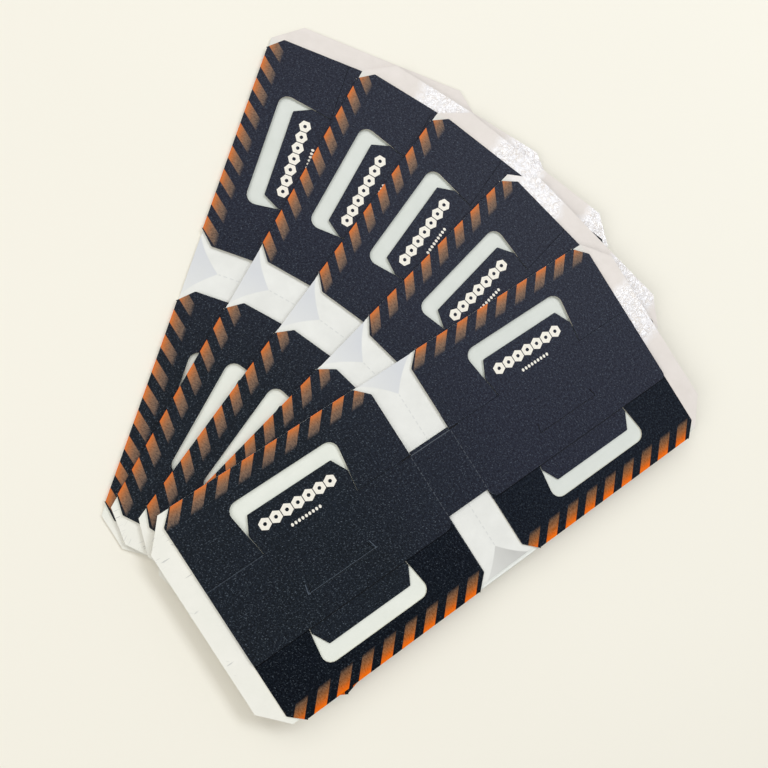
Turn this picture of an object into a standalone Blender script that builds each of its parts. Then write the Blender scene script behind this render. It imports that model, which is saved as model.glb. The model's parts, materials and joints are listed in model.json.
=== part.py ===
"""A fan of five flat-folded sticky insect traps, each one die-cut card made of two halves.

A card lies along its own X. Its outer flaps fold over from the +Y edge and its inner flaps
from the -Y edge. From the table up, a card is a base board, two glue patches, a release
liner, the inner flaps with their under roofs, and the outer flaps with the roof panel that
joins the two halves. On the top card the flaps stand up to open the trap. The frame's X
and Y are the top card's, and its origin is under the middle of the fan's box.
"""
import math

import bmesh
import bpy
from mathutils import Matrix, Vector

MM = 0.001

# The card seen from above, folded flat
CARD_WIDTH = 95 * MM          # between the two folds
FOLD_LENGTH = 80 * MM         # of one half, along its folds
FOLD_GAP = 31 * MM            # between the folds of the two halves
CORNER = 6 * MM               # cut where a flap is narrower at its fold
CREASE = 34.2 * MM            # from a fold to the crease of its flap
CREASE_GAP = 0.2 * MM

# The entrance window in each flap, and the awning tab that the crease leaves in it
WINDOW_START = 12 * MM        # from the fold
WINDOW_HALF = 24.4 * MM       # half length beside the fold
WINDOW_HALF_CREASE = 21.3 * MM
WINDOW_RADIUS = 4 * MM
AWNING_REACH = 15.5 * MM      # out from the crease
AWNING_SHOULDER = 8.6 * MM    # out from the crease, where its cut corners start
AWNING_HALF = 18.6 * MM       # half length of its outer edge
CUT = 0.3 * MM                # clear width of a die cut

# The two roofs
ROOF_EDGE = 67.2 * MM         # from the outer fold to the free edge of the roof panel
ROOF_RADIUS = 4 * MM
BRIDGE_START = 33.2 * MM      # from the outer fold, the strip that joins the two halves
BRIDGE_END = 62.9 * MM
SLOT_LINE = 56.5 * MM         # from the outer fold to the slot that takes the lock tab
SLOT_HALF = 14.6 * MM
SLOT_LEG = 3.6 * MM
SLOT_LEAN = 0.9 * MM
UNDER_ROOF_WIDTH = 15.5 * MM
LOCK_TAB_HALF = 13 * MM
LOCK_TAB_REACH = 6 * MM

# The base board, the glue and the liner
NOTCH_DEPTH = 11.7 * MM       # of the pointed notch between two folds
NOTCH_CURVE = 1.6             # power of its hollow sides
NOTCH_STEPS = 6
GLUE_LENGTH = 84 * MM
GLUE_WIDTH = 76 * MM
LINER_LENGTH = 221 * MM
LINER_INSET_OUTER = 0.8 * MM  # from the outer fold
LINER_INSET_INNER = 2.1 * MM  # from the inner fold
LINER_CORNER_X = 9.5 * MM
LINER_CORNER_Y = 11.2 * MM

# Thicknesses and heights of the layers in one card
BOARD = 0.45 * MM
GLUE = 0.15 * MM
LINER = 0.10 * MM
GLUE_Z = 0.55 * MM
LINER_Z = 0.80 * MM
INNER_Z = 1.00 * MM
OUTER_Z = 1.60 * MM
CARD_PITCH = 2.20 * MM
FOLD_CLEAR = 0.05 * MM        # left above a fold's wall for its flap to turn

# Where each card's centre lies in the fan and how far it is turned, from the table up
CARD_PLACES = (
    (-11.0 * MM, 86.0 * MM, math.radians(39.5)),
    (-3.0 * MM, 66.5 * MM, math.radians(29.0)),
    (3.5 * MM, 44.0 * MM, math.radians(22.0)),
    (3.5 * MM, 19.0 * MM, math.radians(13.5)),
    (0.0, 0.0, 0.0),
)

HALF_CENTRE = (FOLD_GAP + FOLD_LENGTH) / 2
CARD_END = FOLD_GAP / 2 + FOLD_LENGTH + CORNER
GAP_HALF = FOLD_GAP / 2 - CORNER
FOLD_Y = CARD_WIDTH / 2
ARC_STEPS = 5
WELD = 0.001 * MM


def clear_scene():
    for old in list(bpy.data.objects):
        bpy.data.objects.remove(old)


def new_collection(name):
    collection = bpy.data.collections.new(name)
    bpy.context.scene.collection.children.link(collection)
    return collection


def principled(name, colour, roughness):
    material = bpy.data.materials.new(name)
    material.use_nodes = True
    shader = material.node_tree.nodes["Principled BSDF"]
    shader.inputs["Base Color"].default_value = (*colour, 1.0)
    shader.inputs["Roughness"].default_value = roughness
    shader.inputs["Metallic"].default_value = 0.0
    material.diffuse_color = (*colour, 1.0)
    return material


def rounded(corners):
    """Turn (x, y, radius) corners into a closed outline with an arc at each radius."""
    outline = []
    for i, (x, y, radius) in enumerate(corners):
        here = Vector((x, y))
        if not radius:
            outline.append(here)
            continue
        to_before = (Vector(corners[i - 1][:2]) - here).normalized()
        to_after = (Vector(corners[(i + 1) % len(corners)][:2]) - here).normalized()
        half_angle = to_before.angle(to_after) / 2
        centre = here + (to_before + to_after).normalized() * radius / math.sin(half_angle)
        start = here + to_before * radius / math.tan(half_angle) - centre
        turn = start.angle_signed(here + to_after * radius / math.tan(half_angle) - centre)
        for step in range(ARC_STEPS + 1):
            spoke = Matrix.Rotation(-turn * step / ARC_STEPS, 2) @ start
            outline.append(centre + spoke)
    return outline


def mirrored(points):
    """Complete a chain of corners, given for +X from first to last, with its -X side."""
    other_side = [(-point[0], *point[1:]) for point in reversed(points)]
    return list(points) + other_side


def solid_mesh(source, name):
    """Take the evaluated shape of source as one welded mesh and remove source."""
    bpy.context.view_layer.update()
    evaluated = source.evaluated_get(bpy.context.evaluated_depsgraph_get())
    mesh = bpy.data.meshes.new_from_object(evaluated)
    mesh.name = name
    welder = bmesh.new()
    welder.from_mesh(mesh)
    bmesh.ops.remove_doubles(welder, verts=welder.verts, dist=WELD)
    bmesh.ops.recalc_face_normals(welder, faces=welder.faces)
    welder.to_mesh(mesh)
    welder.free()
    bpy.data.objects.remove(source)
    return mesh


def plate(name, outlines, thickness):
    """Make a flat sheet from its outline and any holes, resting on z = 0."""
    curve = bpy.data.curves.new(name, "CURVE")
    curve.dimensions = "2D"
    curve.fill_mode = "BOTH"
    curve.extrude = thickness / 2
    for outline in outlines:
        spline = curve.splines.new("POLY")
        spline.points.add(len(outline) - 1)
        for point, (x, y) in zip(spline.points, outline):
            point.co = (x, y, 0, 1)
        spline.use_cyclic_u = True
    source = bpy.data.objects.new(name, curve)
    bpy.context.scene.collection.objects.link(source)
    mesh = solid_mesh(source, name)
    mesh.transform(Matrix.Translation((0, 0, thickness / 2)))
    return mesh


def window_half(from_fold):
    """Half length of the window at a distance from the fold."""
    taper = (WINDOW_HALF - WINDOW_HALF_CREASE) / (CREASE - WINDOW_START)
    return WINDOW_HALF - taper * (from_fold - WINDOW_START)


def awning():
    """+X side of an awning tab, from its outer edge back to its root on the crease."""
    shoulder = window_half(CREASE - AWNING_SHOULDER) - CUT
    return [
        (AWNING_HALF, AWNING_REACH, 0.5 * MM),
        (shoulder, AWNING_SHOULDER, 0.3 * MM),
        (WINDOW_HALF_CREASE - CUT, -CREASE_GAP / 2, 0),
    ]


def flap_mesh():
    """One entrance flap, its fold along X at y = 0, reaching to its crease along -Y."""
    crease_y = CREASE_GAP / 2 - CREASE
    side = FOLD_LENGTH / 2 + CORNER
    half = [
        (WINDOW_HALF, -WINDOW_START, WINDOW_RADIUS),
        (WINDOW_HALF_CREASE, crease_y, 0),
        (side, crease_y, 0),
        (side, -CORNER, 1 * MM),
        (FOLD_LENGTH / 2, 0, 0.4 * MM),
    ]
    return plate("flap", [rounded(mirrored(half))], BOARD)


def slot_outline(centre_x):
    """The narrow U-shaped slot of one half, cut through the roof panel."""
    line = CREASE - SLOT_LINE
    root = line + SLOT_LEG
    half = [
        (SLOT_HALF, line - CUT / 2, 0),
        (SLOT_HALF - SLOT_LEAN, root, 0),
        (SLOT_HALF - SLOT_LEAN - CUT, root, 0),
        (SLOT_HALF - CUT, line + CUT / 2, 0),
    ]
    return [(centre_x + x, y) for x, y, _ in mirrored(half)]


def roof_panel_mesh():
    """The roof over both halves, its crease along X at y = 0, reaching along -Y."""
    crease_y = -CREASE_GAP / 2
    edge_y = CREASE - ROOF_EDGE
    half = [
        (GAP_HALF - CUT, CREASE - BRIDGE_START, 0),
        (GAP_HALF - CUT, crease_y, 0),
        *[(HALF_CENTRE - x, y, radius) for x, y, radius in reversed(awning())],
        *[(HALF_CENTRE + x, y, radius) for x, y, radius in awning()],
        (CARD_END, crease_y, 0),
        (CARD_END, edge_y, 2 * MM),
        (GAP_HALF, edge_y, ROOF_RADIUS),
        (GAP_HALF, CREASE - BRIDGE_END, 0),
    ]
    slots = [slot_outline(side * HALF_CENTRE) for side in (-1, 1)]
    return plate("roof_panel", [rounded(mirrored(half)), *slots], BOARD)


def under_roof_mesh():
    """The roof under the roof panel, its crease along X at y = 0, reaching along -Y."""
    side = FOLD_LENGTH / 2 + CORNER
    root_y = -UNDER_ROOF_WIDTH
    half = [
        *awning(),
        (side, -CREASE_GAP / 2, 0),
        (side, root_y, 3 * MM),
        (LOCK_TAB_HALF, root_y, 0),
        (LOCK_TAB_HALF - SLOT_LEAN, root_y - LOCK_TAB_REACH, 2 * MM),
    ]
    return plate("under_roof", [rounded(mirrored(half))], BOARD)


def notch(side):
    """Hollow-sided notch between two folds, from +X to -X, on the side given by its sign."""
    points = []
    for step in range(-NOTCH_STEPS, NOTCH_STEPS + 1):
        share = step / NOTCH_STEPS
        depth = NOTCH_DEPTH * (1 - abs(share)) ** NOTCH_CURVE
        points.append((-side * share * FOLD_GAP / 2, side * (FOLD_Y - depth), 0))
    return points


def fold_walls():
    """The upright part of each fold, which holds a flap above the base board."""
    walls = bmesh.new()
    for side, flap_z in ((1, OUTER_Z), (-1, INNER_Z)):
        low = BOARD / 2
        height = flap_z - FOLD_CLEAR - low
        for half in (-1, 1):
            middle = Vector((half * HALF_CENTRE, side * (FOLD_Y - BOARD / 2), low + height / 2))
            size = Matrix.Diagonal((FOLD_LENGTH, BOARD, height, 1))
            bmesh.ops.create_cube(walls, size=1, matrix=Matrix.Translation(middle) @ size)
    mesh = bpy.data.meshes.new("fold_walls")
    walls.to_mesh(mesh)
    walls.free()
    return mesh


def base_board_mesh(cutters):
    """The white bottom of the card, with the fold walls standing on its edges."""
    right_end = [(x, y, 0) for x, y in board_corners()]
    left_end = [(-x, y, radius) for x, y, radius in right_end]
    outline = rounded([*notch(1), *left_end, *notch(-1), *reversed(right_end)])
    board = bpy.data.objects.new("base_board", plate("board_sheet", [outline], BOARD))
    bpy.context.scene.collection.objects.link(board)
    walls = bpy.data.objects.new("fold_walls_to_join", fold_walls())
    walls.hide_render = True
    walls.display_type = "WIRE"
    cutters.objects.link(walls)
    join = board.modifiers.new("join_fold_walls", "BOOLEAN")
    join.operation = "UNION"
    join.object = walls
    mesh = solid_mesh(board, "base_board")
    bpy.data.objects.remove(walls)
    return mesh


def board_corners():
    """Corners of the base board's +X end, from the outer fold to the inner fold."""
    return [
        (CARD_END - CORNER, FOLD_Y),
        (CARD_END, FOLD_Y - CORNER),
        (CARD_END, -FOLD_Y + CORNER),
        (CARD_END - CORNER, -FOLD_Y),
    ]


def liner_corners():
    """Corners of the liner's +X end, from the outer fold to the inner fold."""
    end = LINER_LENGTH / 2
    high = FOLD_Y - LINER_INSET_OUTER
    low = -FOLD_Y + LINER_INSET_INNER
    return [
        (end - LINER_CORNER_X, high),
        (end, high - LINER_CORNER_Y),
        (end, low + LINER_CORNER_Y),
        (end - LINER_CORNER_X, low),
    ]


def glue_mesh():
    x, y = GLUE_LENGTH / 2, GLUE_WIDTH / 2
    corners = [(x, y, 3 * MM), (-x, y, 3 * MM), (-x, -y, 3 * MM), (x, -y, 3 * MM)]
    return plate("glue", [rounded(corners)], GLUE)


def liner_mesh():
    """The release liner, whose two ends stand out past the board as pull tabs."""
    return plate("release_liner", [mirrored(liner_corners())], LINER)


def turning_centre(lower, upper):
    """The point that the upper card turns about to lie square on the lower card."""
    lower_at, upper_at = Vector(lower[:2]), Vector(upper[:2])
    step = lower[2] - upper[2]
    across = lower_at - upper_at
    sideways = Vector((-across.y, across.x))
    return (lower_at + upper_at) / 2 + sideways / (2 * math.tan(step / 2))


def fan_middle():
    """Middle of the whole fan's box, from the corners of all its boards and liners."""
    corners = mirrored(board_corners() + liner_corners())
    reach = []
    for x, y, angle in CARD_PLACES:
        turn = Matrix.Rotation(angle, 2)
        reach += [Vector((x, y)) + turn @ Vector(corner) for corner in corners]
    xs, ys = [point.x for point in reach], [point.y for point in reach]
    return Vector(((min(xs) + max(xs)) / 2, (min(ys) + max(ys)) / 2))


def pivot_empty(number, collection):
    """An empty on the axis that a card turns about, aligned with the card."""
    places = CARD_PLACES
    here = places[number - 1]
    axis_at = Vector(here[:2])
    if number > 1:
        axis_at = turning_centre(places[number - 2], here)
    at = axis_at - fan_middle()
    pivot = bpy.data.objects.new(f"card_{number}_pivot", None)
    pivot.location = (at.x, at.y, (number - 1) * CARD_PITCH)
    pivot.rotation_euler.z = here[2]
    pivot.empty_display_size = 10 * MM
    collection.objects.link(pivot)
    centre = Matrix.Rotation(-here[2], 2) @ (Vector(here[:2]) - axis_at)
    return pivot, centre.to_3d()


def build_card(number, meshes, collection):
    pivot, centre = pivot_empty(number, collection)

    def add(piece_name, kind, parent, location, turned=False):
        piece = bpy.data.objects.new(f"card_{number}_{piece_name}", meshes[kind])
        piece.parent = parent
        piece.location = location
        piece.rotation_euler.z = math.pi if turned else 0
        collection.objects.link(piece)
        return piece

    add("base_board", "base_board", pivot, centre)
    add("release_liner", "release_liner", pivot, centre + Vector((0, 0, LINER_Z)))
    for side, sign in (("left", -1), ("right", 1)):
        middle = centre + Vector((sign * HALF_CENTRE, 0, 0))
        add(f"glue_{side}", "glue", pivot, middle + Vector((0, 0, GLUE_Z)))
        inner = add(f"inner_flap_{side}", "flap", pivot,
                    middle + Vector((0, -FOLD_Y, INNER_Z)), turned=True)
        add(f"under_roof_{side}", "under_roof", inner, (0, -CREASE, 0))
        outer = add(f"outer_flap_{side}", "flap", pivot,
                    middle + Vector((0, FOLD_Y, OUTER_Z)))
        if side == "left":
            add("roof_panel", "roof_panel", outer, (HALF_CENTRE, -CREASE, 0))


def build_fan():
    clear_scene()
    collection = new_collection("folded_insect_traps")
    cutters = new_collection("joining_shapes")
    meshes = {
        "base_board": base_board_mesh(cutters),
        "glue": glue_mesh(),
        "release_liner": liner_mesh(),
        "flap": flap_mesh(),
        "under_roof": under_roof_mesh(),
        "roof_panel": roof_panel_mesh(),
    }
    finishes = {
        "base_board": ("white_board", (0.84, 0.84, 0.82), 0.7),
        "glue": ("clear_glue", (0.75, 0.78, 0.66), 0.25),
        "release_liner": ("liner_paper", (0.80, 0.78, 0.75), 0.4),
        "flap": ("black_board_flap", (0.016, 0.018, 0.026), 0.8),
        "under_roof": ("black_board_under_roof", (0.013, 0.016, 0.022), 0.8),
        "roof_panel": ("black_board_roof", (0.022, 0.023, 0.035), 0.8),
    }
    for kind, finish in finishes.items():
        meshes[kind].materials.append(principled(*finish))
    for number in range(1, len(CARD_PLACES) + 1):
        build_card(number, meshes, collection)


build_fan()
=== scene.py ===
import json
import math

import bpy
from mathutils import Matrix, Vector, noise


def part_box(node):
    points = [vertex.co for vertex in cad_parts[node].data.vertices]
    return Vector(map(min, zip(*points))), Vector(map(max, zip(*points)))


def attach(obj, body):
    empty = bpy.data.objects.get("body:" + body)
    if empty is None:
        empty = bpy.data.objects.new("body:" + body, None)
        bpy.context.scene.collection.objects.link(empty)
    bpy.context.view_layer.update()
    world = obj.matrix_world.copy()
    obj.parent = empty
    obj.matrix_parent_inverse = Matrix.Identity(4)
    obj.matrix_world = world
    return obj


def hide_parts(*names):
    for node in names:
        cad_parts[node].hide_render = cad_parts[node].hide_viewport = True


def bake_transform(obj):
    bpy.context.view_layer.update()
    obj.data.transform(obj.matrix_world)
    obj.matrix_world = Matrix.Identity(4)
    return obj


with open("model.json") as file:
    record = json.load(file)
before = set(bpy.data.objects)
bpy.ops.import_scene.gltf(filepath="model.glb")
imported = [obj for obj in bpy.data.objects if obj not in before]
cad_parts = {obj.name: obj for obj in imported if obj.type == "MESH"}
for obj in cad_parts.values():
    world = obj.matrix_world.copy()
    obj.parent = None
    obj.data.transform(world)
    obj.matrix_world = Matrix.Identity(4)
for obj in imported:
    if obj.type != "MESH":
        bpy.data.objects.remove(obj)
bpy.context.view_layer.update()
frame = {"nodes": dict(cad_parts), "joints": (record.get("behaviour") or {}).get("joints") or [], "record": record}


# ---- The table -------------------------------------------------------------------------------
# The fan of traps lies on a plain table with a warm white matt finish. The table isn't part
# of the object, and is only there to take the shadow.
MM = 0.001


def screen(red, green, blue):
    """A colour given as 0 to 255 screen values, as the linear values that a shader takes."""
    def linear(value):
        share = value / 255
        return share / 12.92 if share <= 0.04045 else ((share + 0.055) / 1.055) ** 2.4
    return linear(red), linear(green), linear(blue), 1.0


def new_finish(name):
    finish = bpy.data.materials.new(name)
    finish.use_nodes = True
    tree = finish.node_tree
    return finish, tree, tree.nodes["Principled BSDF"]


def put(tree, kind, sockets=(), **settings):
    """Add a node to a finish. A socket is linked if it is given an output, and set if not."""
    made = tree.nodes.new("ShaderNode" + kind)
    for key, value in settings.items():
        setattr(made, key, value)
    for key, value in dict(sockets).items():
        if isinstance(value, bpy.types.NodeSocket):
            tree.links.new(value, made.inputs[key])
        else:
            made.inputs[key].default_value = value
    return made


def ramp(tree, factor, stops, interpolation="LINEAR"):
    """A colour ramp over stops of (position, colour or grey value)."""
    made = put(tree, "ValToRGB", {"Fac": factor})
    made.color_ramp.interpolation = interpolation
    for i, (position, colour) in enumerate(stops):
        element = made.color_ramp.elements[i] if i < 2 else made.color_ramp.elements.new(position)
        element.position = position
        element.color = colour if isinstance(colour, tuple) else (colour, colour, colour, 1.0)
    return made.outputs["Color"]


bpy.ops.object.select_all(action="DESELECT")
bpy.ops.mesh.primitive_grid_add(x_subdivisions=8, y_subdivisions=8, size=6,
                                location=(0, 0, -0.05 * MM))
table = bpy.context.active_object
table.name = "table"
table_finish, tree, shader = new_finish("warm_white_table")
place = put(tree, "TexCoord").outputs["Object"]
clouds = put(tree, "TexNoise", {"Vector": place, "Scale": 3.0, "Detail": 2.0}).outputs["Fac"]
tree.links.new(ramp(tree, clouds, [(0.3, screen(240, 236, 223)), (0.7, screen(243, 239, 226))]),
               shader.inputs["Base Color"])
shader.inputs["Roughness"].default_value = 0.9
shader.inputs["Specular IOR Level"].default_value = 0.1
table.data.materials.append(table_finish)


# ---- The light and the camera ----------------------------------------------------------------
# A wide soft light hangs over the table, and a window stands to the right of the fan, where
# it puts a cool gloss on the coated liner ends. The room itself is seen in the table's tone.
room = bpy.data.worlds.new("room")
bpy.context.scene.world = room
room.use_nodes = True
lit_by = room.node_tree.nodes["Background"]
lit_by.inputs["Color"].default_value = (1.0, 0.99, 0.97, 1.0)
lit_by.inputs["Strength"].default_value = 0.48
seen_as = put(room.node_tree, "Background", {"Color": (1.0, 0.975, 0.88, 1.0), "Strength": 0.45})
to_eye = put(room.node_tree, "LightPath").outputs["Is Camera Ray"]
seen = put(room.node_tree, "MixShader", {0: to_eye, 1: lit_by.outputs[0], 2: seen_as.outputs[0]})
room.node_tree.links.new(seen.outputs[0], room.node_tree.nodes["World Output"].inputs["Surface"])


def soft_light(name, at, aim, size, power, colour):
    lamp = bpy.data.lights.new(name, "AREA")
    lamp.shape = "RECTANGLE"
    lamp.size, lamp.size_y = size
    lamp.energy = power
    lamp.color = colour
    holder = bpy.data.objects.new(name, lamp)
    bpy.context.scene.collection.objects.link(holder)
    holder.location = at
    holder.rotation_euler = (Vector(aim) - Vector(at)).to_track_quat("-Z", "Y").to_euler()


soft_light("ceiling_light", (0.3, 1.35, 1.5), (0, 0, 0), (1.2, 1.0), 8.2, (1.0, 0.99, 0.98))
soft_light("fill_light", (-1.05, 0.1, 0.95), (0, 0, 0), (0.7, 0.9), 5.9, (1.0, 0.99, 0.97))
soft_light("window_light", (0.66, 0.08, 1.0), (0.05, 0, 0), (0.80, 0.32), 5.4, (0.88, 0.93, 1.0))

eye = bpy.data.cameras.new("camera")
eye.sensor_width = 36.0
eye.lens = 36.5625
eye.clip_start = 0.01
camera = bpy.data.objects.new("camera", eye)
bpy.context.scene.collection.objects.link(camera)
camera.location = (-0.0682, -0.0169, 0.3094)
camera.rotation_euler = (math.radians(5.22), math.radians(-11.28), math.radians(-33.15))
bpy.context.scene.camera = camera
bpy.context.scene.view_settings.view_transform = "Standard"


# ---- Base boards -----------------------------------------------------------------------------
# The bottom of a trap is a die-cut sheet of thin card, white inside and printed black outside,
# with a hollow notch between its folds. It is modelled once and laid in each card of the fan.
CARDS = (1, 2, 3, 4, 5)
BOARD = 0.45 * MM
FOLD_RADIUS = 0.6 * MM
FOLD_Y = (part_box("card_5_base_board")[1].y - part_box("card_5_base_board")[0].y) / 2
HALF_CENTRE = 55.5 * MM
FOLD_HALF = 40 * MM
NODE_BODY = {node: body for body, nodes in frame["record"]["behaviour"]["bodies"].items()
             for node in nodes}


def card_place(number):
    """The place of a card: its centre on its underside, turned as its liner slides."""
    pull = next(j for j in frame["joints"] if j["name"] == f"liner_{number}_pull")
    low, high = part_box(f"card_{number}_base_board")
    centre = ((low.x + high.x) / 2, (low.y + high.y) / 2, low.z)
    turn = math.atan2(pull["axis"][1], pull["axis"][0])
    return Matrix.Translation(centre) @ Matrix.Rotation(turn, 4, "Z")


def take(piece):
    """Leave piece alone selected and active, as it is before any operator works on it."""
    bpy.ops.object.select_all(action="DESELECT")
    piece.select_set(True)
    bpy.context.view_layer.objects.active = piece


def from_node(node, name):
    """A merged copy of one of the top card's solids, moved to a card lying at the origin."""
    piece = bpy.data.objects.new(name, frame["nodes"]["card_5_" + node].data.copy())
    bpy.context.scene.collection.objects.link(piece)
    piece.data.transform(card_place(5).inverted())
    piece.data.materials.clear()
    take(piece)
    bpy.ops.object.mode_set(mode="EDIT")
    bpy.ops.mesh.select_all(action="SELECT")
    bpy.ops.mesh.remove_doubles(threshold=0.005 * MM)
    bpy.ops.mesh.dissolve_limited(angle_limit=math.radians(1))
    bpy.ops.object.mode_set(mode="OBJECT")
    return piece


def trim_fold(piece, side):
    """Pull the edge at a fold back to where the rounded fold starts."""
    edge = FOLD_Y - FOLD_RADIUS
    for vertex in piece.data.vertices:
        beside = abs(abs(vertex.co.x) - HALF_CENTRE) < FOLD_HALF + 0.1 * MM
        if beside and vertex.co.y * side > edge:
            vertex.co.y = side * edge
    take(piece)
    bpy.ops.object.mode_set(mode="EDIT")
    bpy.ops.mesh.select_all(action="SELECT")
    bpy.ops.mesh.remove_doubles(threshold=0.03 * MM)
    bpy.ops.object.mode_set(mode="OBJECT")


def soften_edges(piece, width=0.06 * MM, segments=2):
    """Round the die-cut edges a little."""
    take(piece)
    bevel = piece.modifiers.new("soft_edges", "BEVEL")
    bevel.width = width
    bevel.segments = segments
    bevel.limit_method = "ANGLE"
    bevel.angle_limit = math.radians(50)
    bevel.use_clamp_overlap = True
    bpy.ops.object.modifier_apply(modifier=bevel.name)


def cut_grid(piece, step):
    """Cut a sheet into squares, so that it can bow. The cuts keep clear of its own corners."""
    take(piece)
    xs = [vertex.co.x for vertex in piece.data.vertices]
    ys = [vertex.co.y for vertex in piece.data.vertices]
    bpy.ops.object.mode_set(mode="EDIT")
    for axis, values in ((0, xs), (1, ys)):
        for i in range(math.ceil(min(values) / step), math.floor(max(values) / step) + 1):
            at, normal = [0.0, 0.0, 0.0], [0.0, 0.0, 0.0]
            at[axis], normal[axis] = i * step + 0.013 * MM, 1.0
            bpy.ops.mesh.select_all(action="SELECT")
            bpy.ops.mesh.bisect(plane_co=at, plane_no=normal)
    bpy.ops.object.mode_set(mode="OBJECT")


def map_card(piece):
    """Give a piece its card map: U runs along the card and V in from the outer fold."""
    layer = piece.data.uv_layers.active or piece.data.uv_layers.new(name="card_map")
    layer.name = "card_map"
    for loop in piece.data.loops:
        place = piece.data.vertices[loop.vertex_index].co
        layer.data[loop.index].uv = (place.x, FOLD_Y - place.y)


def give_finishes(piece, top, bottom, edge):
    """One finish for the faces that look up, one for those that look down, one for the rest."""
    for finish in (top, bottom, edge):
        piece.data.materials.append(finish)
    for face in piece.data.polygons:
        face.material_index = 0 if face.normal.z > 0.8 else 1 if face.normal.z < -0.8 else 2


def copy_into(number, piece, name):
    """Copy a finished piece into one card, whose number is kept on it to shift its patterns."""
    laid = bpy.data.objects.new(f"{name}_{number}", piece.data.copy())
    bpy.context.scene.collection.objects.link(laid)
    laid.data.transform(card_place(number))
    tag = laid.data.attributes.new("card_number", "FLOAT", "POINT")
    tag.data.foreach_set("value", [float(number)] * len(laid.data.vertices))
    return laid


def lay_in_cards(piece, name, node, stands_for=True):
    """Copy a finished piece into every card, on the body that holds the solid it belongs to."""
    for number in CARDS:
        laid = copy_into(number, piece, name)
        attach(laid, NODE_BODY[f"card_{number}_{node}"])
        if stands_for:
            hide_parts(f"card_{number}_{node}")
    bpy.data.objects.remove(piece)


def card_map(tree):
    """The two directions of the card map and the number of the card, which shifts patterns."""
    place = put(tree, "UVMap", uv_map="card_map").outputs["UV"]
    split = put(tree, "SeparateXYZ", {"Vector": place})
    number = put(tree, "Attribute", attribute_name="card_number").outputs["Fac"]
    return place, split.outputs["X"], split.outputs["Y"], number


def card_noise(tree, place, number, scale, detail=3.0, roughness=0.6):
    """Noise over the card map, stretched by scale along each direction, in cells per metre."""
    spread = put(tree, "Mapping", {"Vector": place, "Scale": (*scale, 1.0)}).outputs["Vector"]
    return put(tree, "TexNoise", {"Vector": spread, "W": number, "Scale": 1.0, "Detail": detail,
                                  "Roughness": roughness}, noise_dimensions="4D").outputs["Fac"]


def bump(tree, shader, height, distance, strength=1.0):
    made = put(tree, "Bump", {"Height": height, "Distance": distance, "Strength": strength})
    tree.links.new(made.outputs["Normal"], shader.inputs["Normal"])


def blend_colours(tree, factor, first, second, kind="MIX"):
    made = put(tree, "Mix", {0: factor, 6: first, 7: second}, data_type="RGBA", blend_type=kind)
    return made.outputs[2]


def white_board_finish():
    """Uncoated white card with a faint mottle and short fibres."""
    finish, tree, shader = new_finish("white_card_inside")
    place, _, _, number = card_map(tree)
    mottle = card_noise(tree, place, number, (160, 160))
    fibres = card_noise(tree, place, number, (900, 2600))
    tint = ramp(tree, mottle, [(0.3, screen(226, 229, 222)), (0.7, screen(236, 238, 232))])
    flecks = ramp(tree, fibres, [(0.36, 0.90), (0.5, 1.0)])
    tree.links.new(blend_colours(tree, 1.0, tint, flecks, "MULTIPLY"), shader.inputs["Base Color"])
    shader.inputs["Roughness"].default_value = 0.75
    bump(tree, shader, fibres, 0.02 * MM, 0.5)
    return finish


def cut_edge_finish(name, pale, dark):
    """The bare cut through the card, layered, and darker where the ink has bled into it."""
    finish, tree, shader = new_finish(name)
    place = put(tree, "TexCoord").outputs["Object"]
    spread = put(tree, "Mapping", {"Vector": place, "Scale": (300, 300, 9000)}).outputs["Vector"]
    layers = put(tree, "TexNoise", {"Vector": spread, "Scale": 1.0, "Detail": 2.0}).outputs["Fac"]
    tree.links.new(ramp(tree, layers, [(0.3, screen(*dark)), (0.65, screen(*pale))]),
                   shader.inputs["Base Color"])
    shader.inputs["Roughness"].default_value = 0.85
    bump(tree, shader, layers, 0.02 * MM, 0.6)
    return finish


# The ink: stripes slant in from every fold and fade out, over black with pale paper fibres. Some light and shade
# are painted over it too.
# The places are in millimetres on the card map: the first four lie across it from a fold, and
# the last two along it from the middle of the card or of a half.
STRIPE_END = 8.5
CREASE_LINE = 34.35
SLOT_LINE = 56.35
ROOF_EDGE = 67.45
BRIDGE_HALF = 9.7
SLOT_HALF = 15.35


def maths(tree, operation, first, second=0.0):
    return put(tree, "Math", {0: first, 1: second}, operation=operation).outputs[0]


def times(tree, first, second):
    return maths(tree, "MULTIPLY", first, second)


def within(tree, value, middle, half):
    """1 where the value is less than half away from the middle, and 0 elsewhere."""
    return maths(tree, "LESS_THAN", maths(
        tree, "ABSOLUTE", maths(tree, "SUBTRACT", value, middle)), half)


def rise(tree, value, start, end, low=0.0, high=1.0):
    """Low up to the start, high past the end, and straight between them."""
    return put(tree, "MapRange", {"Value": value, "From Min": start, "From Max": end,
                                  "To Min": low, "To Max": high}).outputs[0]


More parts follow.
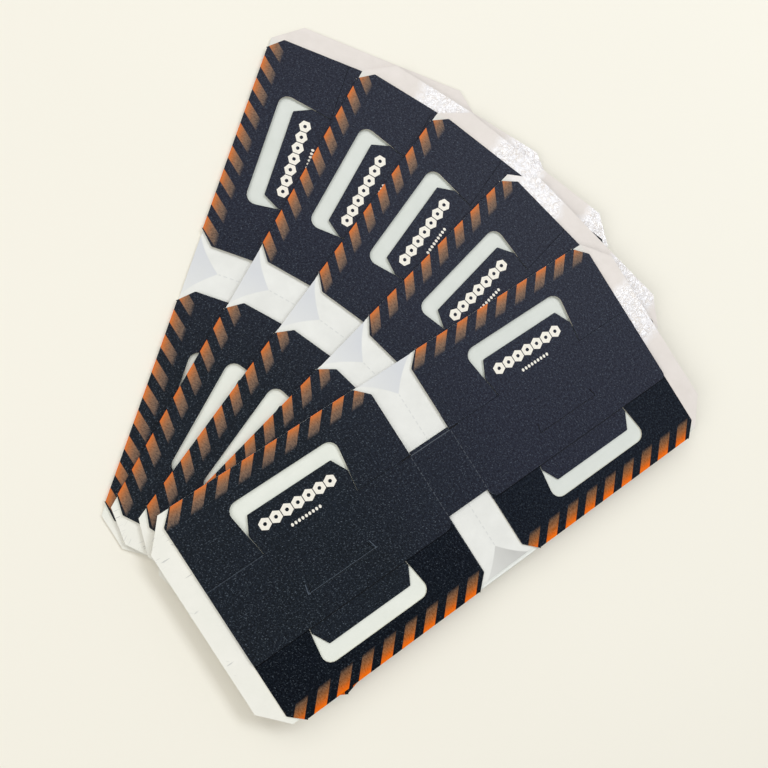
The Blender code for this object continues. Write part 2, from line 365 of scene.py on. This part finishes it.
def black_print_finish(name, black, haze, painted_sheen_right, fleck, sheen):
    """Matt black ink over card. The stripes fade in from both folds of every flap."""
    finish, tree, shader = new_finish(name)
    place, along, across, number = card_map(tree)
    along_mm = times(tree, along, 1 / MM)
    across_mm = times(tree, across, 1 / MM)
    off_middle = maths(tree, "ABSOLUTE", along_mm)
    side = maths(tree, "SIGN", along_mm)
    in_half = maths(tree, "SUBTRACT", along_mm, times(tree, side, HALF_CENTRE / MM))

    def stripes(from_fold, start, pitch, slant, share):
        shifted = maths(tree, "ADD", in_half, times(tree, from_fold, slant))
        phase = maths(tree, "DIVIDE", maths(tree, "ADD", shifted, start), pitch)
        turn = maths(tree, "FRACT", maths(tree, "ADD", phase, 20.0))
        return ramp(tree, turn, [(0.0, 0.0), (0.02, 1.0), (share - 0.02, 1.0), (share, 0.0)])

    from_inner = maths(tree, "SUBTRACT", 2 * FOLD_Y / MM - 0.3, across_mm)
    outer = stripes(across_mm, 39.6, 10.2, 0.85, 0.53)
    inner = stripes(from_inner, 37.6, 10.0, -0.9, 0.57)
    near_outer = maths(tree, "LESS_THAN", across_mm, FOLD_Y / MM)
    stripe = blend_colours(tree, near_outer, inner, outer)
    from_fold = maths(tree, "MINIMUM", across_mm, from_inner)
    grit = card_noise(tree, place, number, (1500, 1500), 2.0)
    ragged = maths(tree, "ADD", from_fold, times(tree, maths(tree, "SUBTRACT", grit, 0.5), 0.9))
    depth = maths(tree, "DIVIDE", ragged, STRIPE_END)
    share = ramp(tree, depth, [(0.0, 1.0), (0.76, 0.95), (0.90, 0.0)])
    outer_ink = ramp(tree, depth, [(0.0, screen(242, 104, 14)), (0.05, screen(228, 107, 34)),
                                   (0.14, screen(199, 111, 50)), (0.33, screen(153, 99, 62)),
                                   (0.52, screen(116, 87, 68)), (0.80, screen(70, 64, 62))])
    inner_ink = ramp(tree, depth, [(0.0, screen(246, 116, 4)), (0.18, screen(220, 98, 4)),
                                   (0.36, screen(172, 90, 20)), (0.55, screen(130, 78, 38)),
                                   (0.80, screen(78, 58, 44))])
    ink = blend_colours(tree, near_outer, inner_ink, outer_ink)

    # The ink is grainy over the paper: dark where it has pooled, and pale at bare fibres.
    streaks = card_noise(tree, place, number, (1700, 900), 3.0, 0.8)
    flecks = ramp(tree, streaks, [(0.40, 0.0), (0.56, 0.45), (0.68, 1.0)])
    grainy = times(tree, ramp(tree, streaks, [(0.32, 1.0), (0.50, 0.0)]),
                   ramp(tree, depth, [(0.05, 0.0), (0.4, 0.45)]))
    glints = times(tree, flecks, ramp(tree, depth, [(0.05, 0.0), (0.4, 0.22)]))
    ink = blend_colours(tree, grainy, ink, screen(40, 34, 36))
    ink = blend_colours(tree, glints, ink, screen(236, 190, 150))
    leaning = put(tree, "Mapping", {"Vector": place, "Rotation": (0, 0, 0.7)}).outputs["Vector"]
    fibres = maths(tree, "MAXIMUM", card_noise(tree, leaning, number, (2700, 1000), 1.0),
                   card_noise(tree, place, number, (1000, 2500), 1.0))
    salt = ramp(tree, fibres, [(0.62, 0.0), (0.71, 1.0)])
    patches = card_noise(tree, place, number, (60, 45), 3.0)
    base = ramp(tree, patches, [(0.3, screen(*black)), (0.72, screen(*haze))])
    # The black is painted lighter towards the right half: a painted sheen where the window light falls, on top of
    # the real sheen.
    to_right = rise(tree, along_mm, -40.0, 30.0)
    base = blend_colours(tree, to_right, base, screen(*painted_sheen_right))
    faint = ramp(tree, to_right, [(0.0, 0.6 * fleck), (1.0, fleck)])
    worn = blend_colours(tree, times(tree, flecks, faint), base, screen(102, 118, 142))
    salty = ramp(tree, to_right, [(0.0, 1.6 * fleck), (1.0, 1.1 * fleck)])
    worn = blend_colours(tree, times(tree, salt, salty), worn, screen(140, 154, 166))
    printed = blend_colours(tree, times(tree, stripe, share), worn, ink)

    # Ink has rubbed off along the outer folds. The edge of each inner fold is painted dark: painted shade where
    # the fold rolls away.
    specks = card_noise(tree, place, number, (1900, 1400), 1.0)
    at_fold = maths(tree, "LESS_THAN", from_fold, 0.15)
    rubbed = times(tree, times(tree, at_fold, near_outer),
                   ramp(tree, specks, [(0.46, 0.0), (0.56, 0.6)]))
    printed = blend_colours(tree, rubbed, printed, screen(176, 170, 160))
    inner_fold_shade = times(tree, at_fold, maths(tree, "SUBTRACT", 0.7, near_outer))
    printed = blend_colours(tree, inner_fold_shade, printed, screen(46, 22, 20))

    # The bridge is scored across and perforated at both sides. Just past each end of the bridge crease, a painted
    # shadow stands for a dark open gap.
    score = times(tree, within(tree, across_mm, CREASE_LINE + 0.35, 0.13),
                  maths(tree, "LESS_THAN", off_middle, BRIDGE_HALF - 0.3))
    dashes = maths(tree, "GREATER_THAN", maths(
        tree, "FRACT", maths(tree, "DIVIDE", across_mm, 2.3)), 0.35)
    on_roof = maths(tree, "GREATER_THAN", across_mm, CREASE_LINE + 0.15)
    perforated = times(tree, times(tree, within(tree, off_middle, BRIDGE_HALF, 0.16), dashes),
                       times(tree, on_roof, 0.55))
    marks = times(tree, maths(tree, "MAXIMUM", score, perforated), 0.7)
    printed = blend_colours(tree, marks, printed, screen(104, 110, 116))
    crease_gap_shadow = times(tree, within(tree, off_middle, BRIDGE_HALF + 1.9, 2.2),
                 within(tree, across_mm, CREASE_LINE, 0.3))
    printed = blend_colours(tree, crease_gap_shadow, printed, screen(6, 7, 10))

    # A painted shadow of the roof's free edge lies as a dark line on the sheets below it. The left half has
    # painted highlights just past its crease and round its slot, where raised edges catch the light.
    roof_edge_shadow = times(tree, within(tree, across_mm, ROOF_EDGE, 0.22),
                    maths(tree, "GREATER_THAN", off_middle, BRIDGE_HALF - 0.2))
    printed = blend_colours(tree, times(tree, roof_edge_shadow, 0.8), printed, screen(3, 4, 7))
    from_centre = maths(tree, "ABSOLUTE", in_half)
    crease_highlight = times(tree, within(tree, across_mm, CREASE_LINE + 0.25, 0.18),
                       times(tree, maths(tree, "LESS_THAN", along_mm, -77.0), 0.45))
    slot_highlight = times(tree, within(tree, across_mm, SLOT_LINE, 0.2),
                     maths(tree, "LESS_THAN", from_centre, SLOT_HALF - 0.05))
    lean = times(tree, maths(tree, "SUBTRACT", across_mm, SLOT_LINE - 0.35), 0.25)
    slot_leg_highlight = times(tree, within(tree, across_mm, SLOT_LINE - 1.85, 1.9),
                    within(tree, maths(tree, "SUBTRACT", from_centre, lean), SLOT_HALF, 0.18))
    slot_highlights = times(tree, maths(tree, "MAXIMUM", slot_highlight, slot_leg_highlight),
                      maths(tree, "LESS_THAN", along_mm, 0.0))
    left_edge_highlights = times(tree, maths(tree, "MAXIMUM", crease_highlight, slot_highlights),
                 ramp(tree, specks, [(0.3, 0.3), (0.6, 0.75)]))
    printed = blend_colours(tree, left_edge_highlights, printed, screen(92, 102, 114))
    tree.links.new(printed, shader.inputs["Base Color"])

    dull = ramp(tree, streaks, [(0.3, 0.54), (0.7, 0.42)])
    by_fold = rise(tree, from_fold, 0.9, 0.3, 0.0, 0.95)
    tree.links.new(maths(tree, "MAXIMUM", dull, by_fold), shader.inputs["Roughness"])
    shader.inputs["Specular IOR Level"].default_value = sheen
    bump(tree, shader, streaks, 0.05 * MM, 0.7)
    return finish


white_inside = white_board_finish()
cut_edge = cut_edge_finish("card_cut_edge", (232, 226, 208), (196, 188, 170))
inked_edge = cut_edge_finish("card_inked_edge", (74, 76, 78), (34, 36, 40))
black_flap = black_print_finish("black_print", black=(0, 5, 11), haze=(3, 10, 19),
                                painted_sheen_right=(17, 16, 31), fleck=0.2, sheen=0.14)
# The inner black is the same ink painted darker, as painted shade, for the inner flaps and folds, the creases and
# the board's underside. It also has less sheen.
shaded_black_inner = black_print_finish("black_print_inner_shade", black=(0, 2, 8), haze=(0, 5, 12),
                                 painted_sheen_right=(4, 8, 17), fleck=0.13, sheen=0.06)

# The walls at the folds are cut off the board, because the rolled folds take their place.
board = from_node("base_board", "base_board_pattern")
take(board)
bpy.ops.object.mode_set(mode="EDIT")
bpy.ops.mesh.select_all(action="SELECT")
bpy.ops.mesh.bisect(plane_co=(0, 0, BOARD - 0.001 * MM), plane_no=(0, 0, 1), use_fill=True,
                    clear_outer=True)
bpy.ops.object.mode_set(mode="OBJECT")
trim_fold(board, 1)
trim_fold(board, -1)
soften_edges(board)
map_card(board)
give_finishes(board, white_inside, shaded_black_inner, cut_edge)
lay_in_cards(board, "base_board", "base_board")


# ---- Folds -----------------------------------------------------------------------------------
# The card is scored and rolled over at each fold, black side out. On the top card the folds are left in place,
# held by no body.
OUTER_HEIGHT = 2.05 * MM
INNER_HEIGHT = 1.45 * MM


def rolled_fold(side, height, half):
    """The strip of card that turns from the board up to a flap."""
    at = (half * HALF_CENTRE, side * (FOLD_Y - FOLD_RADIUS), BOARD / 2)
    bpy.ops.object.select_all(action="DESELECT")
    bpy.ops.mesh.primitive_plane_add(size=2 * FOLD_HALF, location=at,
                                     rotation=(math.pi / 2, 0, 0))
    strip = bpy.context.active_object
    bpy.ops.object.transform_apply(location=True, rotation=True, scale=True)
    bpy.ops.object.mode_set(mode="EDIT")
    bpy.ops.mesh.select_all(action="SELECT")
    bpy.ops.transform.resize(value=(1, 1, BOARD / (2 * FOLD_HALF)))
    bpy.ops.mesh.spin(steps=6, angle=math.pi / 2, axis=(side, 0, 0),
                      center=(at[0], at[1], FOLD_RADIUS))
    bpy.ops.mesh.extrude_region_move(
        TRANSFORM_OT_translate={"value": (0, 0, height - 2 * FOLD_RADIUS)})
    bpy.ops.mesh.spin(steps=6, angle=math.pi / 2, axis=(side, 0, 0),
                      center=(at[0], at[1], height - FOLD_RADIUS))
    bpy.ops.mesh.select_all(action="SELECT")
    bpy.ops.mesh.remove_doubles(threshold=0.002 * MM)
    bpy.ops.mesh.normals_make_consistent(inside=False)
    bpy.ops.object.mode_set(mode="OBJECT")
    return strip


def map_fold(strip, side, height):
    """Carry the card map on round the fold, so that the stripes run over it."""
    layer = strip.data.uv_layers.active or strip.data.uv_layers.new(name="card_map")
    layer.name = "card_map"
    for loop in strip.data.loops:
        place = strip.data.vertices[loop.vertex_index].co
        below = max(0.0, height - FOLD_RADIUS - place.z)
        past = FOLD_Y - side * place.y - below
        layer.data[loop.index].uv = (place.x, past if side > 0 else 2 * FOLD_Y - past)


for half, half_name in ((-1, "left"), (1, "right")):
    for side, side_name, height in ((1, "outer", OUTER_HEIGHT), (-1, "inner", INNER_HEIGHT)):
        strip = rolled_fold(side, height, half)
        map_fold(strip, side, height)
        core = Vector((half * HALF_CENTRE, side * (FOLD_Y - 0.8 * MM), height / 2))
        for finish in (black_flap if side > 0 else shaded_black_inner, white_inside, cut_edge):
            strip.data.materials.append(finish)
        for face in strip.data.polygons:
            outward = face.normal.dot(face.center - core) > 0
            face.material_index = 2 if abs(face.normal.x) > 0.9 else 0 if outward else 1
            face.use_smooth = abs(face.normal.x) < 0.9
        for number in CARDS:
            fold = copy_into(number, strip, f"{side_name}_fold_{half_name}")
            if number == 5:
                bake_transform(fold)
            else:
                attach(fold, f"card_{number}")
        bpy.data.objects.remove(strip)


# ---- Glue ------------------------------------------------------------------------------------
# Each half holds a patch of clear, tacky insect glue, laid on the board in a thin film with a
# slightly swollen rim. It is covered until the liner is pulled out.
GLUE_MIDDLE = 0.6 * MM


def glue_finish():
    finish, tree, shader = new_finish("tacky_glue")
    place, _, _, number = card_map(tree)
    pools = card_noise(tree, place, number, (90, 90))
    ripples = card_noise(tree, place, number, (420, 300), 2.0)
    tree.links.new(ramp(tree, pools, [(0.3, screen(214, 214, 186)), (0.7, screen(228, 229, 208))]),
                   shader.inputs["Base Color"])
    tree.links.new(ramp(tree, ripples, [(0.3, 0.10), (0.7, 0.2)]), shader.inputs["Roughness"])
    shader.inputs["Coat Weight"].default_value = 0.6
    shader.inputs["Coat Roughness"].default_value = 0.05
    bump(tree, shader, ripples, 0.08 * MM, 0.6)
    return finish


clear_glue = glue_finish()
for half_name in ("left", "right"):
    patch = from_node(f"glue_{half_name}", "glue_pattern")
    soften_edges(patch, 0.05 * MM, 3)
    cut_grid(patch, 4 * MM)
    for vertex in patch.data.vertices:
        if vertex.co.z > GLUE_MIDDLE:
            swell = noise.noise(Vector((vertex.co.x, vertex.co.y, 0.3)) * 90)
            vertex.co.z += 0.03 * MM * swell
    map_card(patch)
    give_finishes(patch, clear_glue, clear_glue, clear_glue)
    for face in patch.data.polygons:
        face.use_smooth = True
    lay_in_cards(patch, f"glue_{half_name}", f"glue_{half_name}")


# ---- Release liners --------------------------------------------------------------------------
# One sheet of coated release paper covers both glue patches. Its ends stand out past the card
# as pull tabs, and there it has curled and crinkled.
LINER_HALF = 110.5 * MM
LINER_TOP = 46.7 * MM
LINER_LOW = -45.4 * MM
LINER_Z = 0.85 * MM
LINER_THICK = 0.10 * MM
CARD_END = 101.5 * MM
CORNER_X = 9.5 * MM
CORNER_Y = 11.2 * MM
# The notch of the board behind, in millimetres: its depth and half width at a fold, and how
# hollow its sides are. Then two crinkled bands on the right end of each liner, from card 1 to
# card 5, by how far their middles lie from the outer fold.
NOTCH_DEPTH = 11.7
NOTCH_HALF = 15.5
NOTCH_CURVE = 1.6
BANDS = ((130, 38, 40, 16, 37), (130, 82, 88, 70, 130))
BAND_REACH = 200.0


def liner_finish():
    """Silicone-coated paper: satin, slightly translucent, glossy where crinkled; light and shade painted on."""
    finish, tree, shader = new_finish("coated_liner")
    place, along, across, number = card_map(tree)
    along_signed = times(tree, along, 1 / MM)
    along_mm = maths(tree, "ABSOLUTE", along_signed)
    across_mm = times(tree, across, 1 / MM)
    to_right = maths(tree, "GREATER_THAN", along, 0.0)
    mottle = card_noise(tree, place, number, (110, 110), 4.0)

    def mottled(dark, pale):
        return ramp(tree, mottle, [(0.3, screen(*dark)), (0.7, screen(*pale))])

    middle = mottled((222, 222, 216), (232, 232, 226))
    # Over the glue and at the pull-tab ends, the liner is painted paler on the left half than on the right:
    # painted light, falling stronger from the left. The right ends are also pinker.
    covered = blend_colours(tree, to_right, mottled((223, 226, 215), (231, 233, 223)),
                            mottled((209, 213, 205), (217, 220, 213)))
    ends = blend_colours(tree, to_right, mottled((232, 231, 220), (238, 236, 226)),
                         mottled((219, 211, 203), (228, 220, 213)))
    body = blend_colours(tree, rise(tree, along_mm, 14.0, 20.0), middle, covered)
    body = blend_colours(tree, rise(tree, along_mm, 97.0, 102.0), body, ends)

    # The hollow notch of the board behind shows through as a grey point at both folds: painted shade, for light
    # lost through the liner into the hollow. It is darker at the inner fold and fades towards its left side.
    from_tip = maths(tree, "MAXIMUM", maths(
        tree, "SUBTRACT", 1.0, maths(tree, "DIVIDE", along_mm, NOTCH_HALF)), 0.0)
    reach = times(tree, maths(tree, "POWER", from_tip, NOTCH_CURVE), NOTCH_DEPTH)
    to_outer = maths(tree, "SUBTRACT", reach, across_mm)
    to_inner = maths(tree, "SUBTRACT", reach, maths(
        tree, "SUBTRACT", 2 * FOLD_Y / MM, across_mm))
    depth = times(tree, rise(tree, along_signed, -13.0, 5.0, 0.3),
                  ramp(tree, mottle, [(0.3, 0.75), (0.7, 1.0)]))
    outer_notch_shade = times(tree, rise(tree, to_outer, -0.3, 0.3), depth)
    inner_notch_shade = times(tree, rise(tree, to_inner, -0.3, 0.3), depth)
    shown = blend_colours(tree, outer_notch_shade, body, screen(206, 208, 211))
    shown = blend_colours(tree, inner_notch_shade, shown, screen(190, 189, 184))

    # A dashed perforation runs across the middle of the board behind.
    dash = maths(tree, "GREATER_THAN", maths(
        tree, "FRACT", maths(tree, "DIVIDE", across_mm, 2.6)), 0.4)
    line = maths(tree, "LESS_THAN", along_mm, 0.25)
    off_notch = maths(tree, "LESS_THAN", maths(tree, "MAXIMUM", to_outer, to_inner), -0.5)
    mark = times(tree, times(tree, dash, line), times(tree, off_notch, 0.26))
    shown = blend_colours(tree, mark, shown, screen(170, 172, 172))

    # Fine grey scratches lie here and there on the left ends.
    turned = put(tree, "Mapping", {"Vector": place, "Rotation": (0, 0, 0.9)}).outputs["Vector"]
    scratch = maths(tree, "MAXIMUM", card_noise(tree, place, number, (190, 1500), 0.0, 0.3),
                    card_noise(tree, turned, number, (1500, 200), 0.0, 0.3))
    rare = card_noise(tree, place, number, (90, 90), 0.0)
    scratched = times(tree, ramp(tree, scratch, [(0.70, 0.0), (0.74, 1.0)]),
                      ramp(tree, rare, [(0.52, 0.0), (0.60, 1.0)]))
    scratched = times(tree, scratched, rise(tree, along, -0.097, -0.102, 0.0, 0.5))
    shown = blend_colours(tree, scratched, shown, screen(160, 162, 160))

    # The right ends have crinkled in bands, a different band on each liner, and shine there. The crinkles are also
    # painted whiter and bluer, a painted highlight over the real gloss.
    spread = put(tree, "Mapping", {"Vector": place, "Scale": (480, 600, 1)}).outputs["Vector"]
    crinkle = put(tree, "TexNoise", {"Vector": spread, "W": number, "Scale": 1.0, "Detail": 3.0,
                                     "Roughness": 0.6, "Distortion": 1.4},
                  noise_dimensions="4D").outputs["Fac"]
    wander = times(tree, maths(tree, "SUBTRACT", card_noise(
        tree, place, number, (70, 70), 2.0), 0.5), 16.0)
    wandered = maths(tree, "ADD", across_mm, wander)
    crumpled = 0.0
    for middles in BANDS:
        centre = ramp(tree, maths(tree, "DIVIDE", number, 10.0), [
            (0.1 * card - 0.05, at / BAND_REACH) for card, at in enumerate(middles, 1)],
            "CONSTANT")
        off = maths(tree, "ABSOLUTE", maths(
            tree, "SUBTRACT", wandered, times(tree, centre, BAND_REACH)))
        crumpled = maths(tree, "MAXIMUM", crumpled, rise(tree, off, 14.5, 9.5))
    crumpled = times(tree, crumpled, rise(tree, along, 0.096, 0.100))
    painted_crinkle_highlight = times(tree, crumpled, ramp(tree, crinkle, [(0.38, 0.0), (0.55, 0.55)]))
    tree.links.new(blend_colours(tree, painted_crinkle_highlight, shown, screen(238, 238, 243)),
                   shader.inputs["Base Color"])
    tree.links.new(ramp(tree, crumpled, [(0.0, 0.70), (1.0, 0.14)]), shader.inputs["Roughness"])
    shader.inputs["Specular IOR Level"].default_value = 0.9
    height = times(tree, crinkle, rise(tree, crumpled, 0.0, 1.0, 0.05))
    bump(tree, shader, height, 0.42 * MM)
    return finish


def liner_edge_finish():
    """The cut edge of the coated paper, where its tan core shows."""
    finish, tree, shader = new_finish("liner_cut_edge")
    place = put(tree, "TexCoord").outputs["Object"]
    fibre = put(tree, "TexNoise", {"Vector": place, "Scale": 1500.0}).outputs["Fac"]
    tree.links.new(ramp(tree, fibre, [(0.3, screen(196, 172, 148)), (0.7, screen(222, 204, 184))]),
                   shader.inputs["Base Color"])
    shader.inputs["Roughness"].default_value = 0.8
    return finish


coated_liner = liner_finish()
liner_edge = liner_edge_finish()


def liner_lift(x, y, number):
    """How far the liner stands off its flat plane at a point of its card."""
    v = FOLD_Y - y
    end = min(1.0, max(0.0, (abs(x) - CARD_END + 2 * MM) / (8 * MM)))
    end = end * end * (3 - 2 * end)
    gap = min(1.0, max(0.0, (14 * MM - abs(x)) / (6 * MM)))
    seed = Vector((3.7 * number, 1.3 * number + (5 if x > 0 else 0), 0.9 * number))
    slow = noise.noise(Vector((x, v, 0)) * 28 + seed)
    mid = noise.noise(Vector((x, v, 0)) * 95 + seed)
    fine = 1 - 2 * abs(noise.noise(Vector((x * 1.3, v, 0)) * 330 + seed))
    # Slow swells, shorter waves and fine creases, in millimetres. The creases are sharper on
    # the right ends of the upper liners.
    crinkled = fine * (1.0 if x > 0 and number >= 3 else 0.35)
    lift = end * (0.28 * slow + 0.16 * mid + 0.05 * crinkled - 0.05)
    return MM * (lift + gap * 0.14 * slow)


bpy.ops.object.select_all(action="DESELECT")
bpy.ops.mesh.primitive_grid_add(x_subdivisions=136, y_subdivisions=58, size=2)
sheet = bpy.context.active_object
bpy.ops.object.mode_set(mode="EDIT")
bpy.ops.mesh.select_all(action="SELECT")
bpy.ops.transform.resize(value=(LINER_HALF, (LINER_TOP - LINER_LOW) / 2, 1))
bpy.ops.transform.translate(value=(0, (LINER_TOP + LINER_LOW) / 2, LINER_Z))
for x_sign in (-1, 1):
    for y_sign, fold in ((1, LINER_TOP), (-1, LINER_LOW)):
        bpy.ops.mesh.select_all(action="SELECT")
        outward = Vector((x_sign * CORNER_Y, y_sign * CORNER_X, 0)).normalized()
        bpy.ops.mesh.bisect(plane_co=(x_sign * (LINER_HALF - CORNER_X), fold, LINER_Z),
                            plane_no=outward, clear_outer=True)
bpy.ops.object.mode_set(mode="OBJECT")
map_card(sheet)
sheet.data.materials.append(coated_liner)
sheet.data.materials.append(liner_edge)
for number in CARDS:
    liner = copy_into(number, sheet, "release_liner")
    for vertex, flat in zip(liner.data.vertices, sheet.data.vertices):
        vertex.co.z += liner_lift(flat.co.x, flat.co.y, number)
    take(liner)
    thicken = liner.modifiers.new("paper_thickness", "SOLIDIFY")
    thicken.thickness = LINER_THICK
    thicken.offset = 0.0
    thicken.material_offset_rim = 1
    bpy.ops.object.modifier_apply(modifier=thicken.name)
    for face in liner.data.polygons:
        face.use_smooth = face.material_index == 0
    bpy.ops.object.mode_set(mode="EDIT")
    bpy.ops.mesh.select_mode(type="EDGE")
    bpy.ops.mesh.select_all(action="DESELECT")
    bpy.ops.mesh.edges_select_sharp(sharpness=math.radians(40))
    bpy.ops.mesh.mark_sharp()
    bpy.ops.mesh.select_mode(type="VERT")
    bpy.ops.object.mode_set(mode="OBJECT")
    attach(liner, f"liner_{number}")
    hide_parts(f"card_{number}_release_liner")
bpy.data.objects.remove(sheet)


# ---- Flaps -----------------------------------------------------------------------------------
# Every half has an outer and an inner flap, cut from the same card as the board, with a
# round-cornered window that the insects walk in through.
CREASE = 34.2 * MM
INKED_REACH = 8.4 * MM


def bow(piece, amount, keep_flat):
    """Let a sheet bow a little between the lines that hold it flat."""
    for vertex in piece.data.vertices:
        free = min(abs(vertex.co.y - line) for line in keep_flat) / (8 * MM)
        wave = noise.noise(Vector((vertex.co.x, vertex.co.y, 0.7)) * 30)
        vertex.co.z += amount * min(1.0, free) * wave


for half_name in ("left", "right"):
    for side, side_name in ((1, "outer"), (-1, "inner")):
        flap = from_node(f"{side_name}_flap_{half_name}", "flap_pattern")
        trim_fold(flap, side)
        soften_edges(flap)
        cut_grid(flap, 5 * MM)
        bow(flap, 0.06 * MM, (side * (FOLD_Y - FOLD_RADIUS), side * (FOLD_Y - CREASE)))
        map_card(flap)
        give_finishes(flap, black_flap if side > 0 else shaded_black_inner, white_inside, cut_edge)
        flap.data.materials.append(inked_edge)
        for face in flap.data.polygons:
            from_crease = abs(face.center.y - side * (FOLD_Y - CREASE))
            if face.material_index == 2 and from_crease < INKED_REACH:
                face.material_index = 3
        name = f"{side_name}_flap_{half_name}"
        lay_in_cards(flap, name, name)


# ---- Roofs -----------------------------------------------------------------------------------
# Past its crease each inner flap carries a short roof, and the outer flaps share one long roof
# panel with a slot in each half for the lock tabs. Awning tabs stand out over the windows.
for half_name in ("left", "right"):
    under = from_node(f"under_roof_{half_name}", "under_roof_pattern")
    soften_edges(under)
    cut_grid(under, 5 * MM)
    map_card(under)
    give_finishes(under, black_flap, white_inside, inked_edge)
    lay_in_cards(under, f"under_roof_{half_name}", f"under_roof_{half_name}")

roof = from_node("roof_panel", "roof_panel_pattern")
soften_edges(roof)
cut_grid(roof, 5 * MM)
bow(roof, 0.06 * MM, (FOLD_Y - CREASE,))
map_card(roof)
give_finishes(roof, black_flap, white_inside, inked_edge)
lay_in_cards(roof, "roof_panel", "roof_panel")


# ---- Creases ---------------------------------------------------------------------------------
# A scored line joins each flap to its roof. The card is crushed thin there. On the top card the right outer crease
# goes with the roof panel, and the others are left on no body.
CREASE_HALF = 46 * MM
CREASE_WIDE = 0.5 * MM
CREASE_THICK = 0.2 * MM
CREASE_UP = 0.17 * MM
TAB_HALF = 21.2 * MM


def crease_strip(half, line_y, bottom):
    """The thin web of crushed card along a crease, in the lengths beside its awning tab."""
    bpy.ops.object.select_all(action="DESELECT")
    bpy.ops.mesh.primitive_cube_add(size=1, location=(half * HALF_CENTRE, line_y,
                                                      bottom + CREASE_UP))
    strip = bpy.context.active_object
    bpy.ops.object.transform_apply(location=True, rotation=True, scale=True)
    bpy.ops.object.mode_set(mode="EDIT")
    bpy.ops.mesh.select_all(action="SELECT")
    bpy.ops.transform.resize(value=(2 * CREASE_HALF, CREASE_WIDE, CREASE_THICK))
    for off_line in (-0.1 * MM, 0.0, 0.1 * MM):
        bpy.ops.mesh.select_all(action="SELECT")
        bpy.ops.mesh.bisect(plane_co=(0, line_y + off_line, 0), plane_no=(0, 1, 0))
    for gap_side in (-1, 1):
        bpy.ops.mesh.select_all(action="SELECT")
        bpy.ops.mesh.bisect(plane_co=(half * HALF_CENTRE + gap_side * TAB_HALF, 0, 0),
                            plane_no=(1, 0, 0))
    bpy.ops.mesh.select_all(action="DESELECT")
    bpy.ops.mesh.select_mode(type="FACE")
    bpy.ops.object.mode_set(mode="OBJECT")
    for face in strip.data.polygons:
        face.select = abs(face.center.x - half * HALF_CENTRE) < TAB_HALF - 0.1 * MM
    bpy.ops.object.mode_set(mode="EDIT")
    bpy.ops.mesh.delete(type="FACE")
    bpy.ops.mesh.select_mode(type="VERT")
    bpy.ops.mesh.select_all(action="SELECT")
    bpy.ops.mesh.fill_holes(sides=0)
    bpy.ops.mesh.select_all(action="SELECT")
    bpy.ops.mesh.normals_make_consistent(inside=False)
    bpy.ops.object.mode_set(mode="OBJECT")
    return strip


for half, half_name in ((-1, "left"), (1, "right")):
    for side, line_y, bottom, flap_body, roof_body in (
            (1, FOLD_Y - CREASE, 1.60 * MM, f"outer_flap_{half_name}", "roof_panel"),
            (-1, CREASE - FOLD_Y, 1.00 * MM, f"inner_flap_{half_name}",
             f"under_roof_{half_name}")):
        strip = crease_strip(half, line_y, bottom)
        map_card(strip)
        strip.data.materials.append(shaded_black_inner)
        for number in CARDS:
            kind = "roof_crease" if side > 0 else "under_roof_crease"
            crease = copy_into(number, strip, f"{kind}_{half_name}")
            joined = side < 0 or half < 0
            if number == 5 and joined:
                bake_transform(crease)
            else:
                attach(crease, roof_body if number == 5 else f"card_{number}")
        bpy.data.objects.remove(strip)


# ---- Print on the awnings --------------------------------------------------------------------
# Each outer awning carries a plain white device, printed thickly enough to stand just proud of
# the black: a row of six-sided rings over a row of small dots.
ROOF_TOP = 2.05 * MM
INK_THICK = 0.015 * MM
PRINT_SHIFT = -0.3 * MM


def white_ink_finish():
    finish, tree, shader = new_finish("white_ink")
    place, _, _, number = card_map(tree)
    worn = card_noise(tree, place, number, (1300, 900), 3.0)
    tint = ramp(tree, worn, [(0.30, screen(216, 212, 200)), (0.45, screen(238, 233, 220))])
    tree.links.new(tint, shader.inputs["Base Color"])
    shader.inputs["Roughness"].default_value = 0.6
    bump(tree, shader, worn, 0.01 * MM, 0.5)
    return finish


def row_of(count, pitch, from_fold, sides, radius, hole, stretch):
    """A row of like printed shapes, centred on one half of the card."""
    at = (PRINT_SHIFT - pitch * (count - 1) / 2, FOLD_Y - from_fold, ROOF_TOP)
    bpy.ops.object.select_all(action="DESELECT")
    bpy.ops.mesh.primitive_circle_add(vertices=sides, radius=radius, fill_type="NGON",
                                      location=at)
    shape = bpy.context.active_object
    bpy.ops.object.transform_apply(location=True, rotation=True, scale=True)
    bpy.ops.object.mode_set(mode="EDIT")
    bpy.ops.mesh.select_all(action="SELECT")
    bpy.ops.transform.resize(value=(1, stretch, 1), center_override=at)
    if hole:
        bpy.ops.mesh.inset(thickness=radius - hole)
        bpy.ops.mesh.delete(type="ONLY_FACE")
    bpy.ops.mesh.select_all(action="SELECT")
    bpy.ops.mesh.extrude_region_move(TRANSFORM_OT_translate={"value": (0, 0, INK_THICK)})
    bpy.ops.mesh.select_all(action="SELECT")
    bpy.ops.mesh.normals_make_consistent(inside=False)
    bpy.ops.object.mode_set(mode="OBJECT")
    repeat = shape.modifiers.new("row", "ARRAY")
    repeat.count = count
    repeat.use_relative_offset = False
    repeat.use_constant_offset = True
    repeat.constant_offset_displace = (pitch, 0, 0)
    bpy.ops.object.modifier_apply(modifier=repeat.name)
    return shape


white_ink = white_ink_finish()
rings = row_of(count=7, pitch=4.85 * MM, from_fold=25.2 * MM, sides=6, radius=2.6 * MM,
               hole=1.05 * MM, stretch=1.0)
dots = row_of(count=9, pitch=1.55 * MM, from_fold=31.2 * MM, sides=8, radius=0.55 * MM,
              hole=0, stretch=1.3)
take(rings)
dots.select_set(True)
bpy.ops.object.join()
for half, half_name in ((-1, "left"), (1, "right")):
    device = bpy.data.objects.new("device_pattern", rings.data.copy())
    bpy.context.scene.collection.objects.link(device)
    device.data.transform(Matrix.Translation((half * HALF_CENTRE, 0, 0)))
    map_card(device)
    device.data.materials.append(white_ink)
    lay_in_cards(device, f"awning_print_{half_name}", "roof_panel", False)
bpy.data.objects.remove(rings)
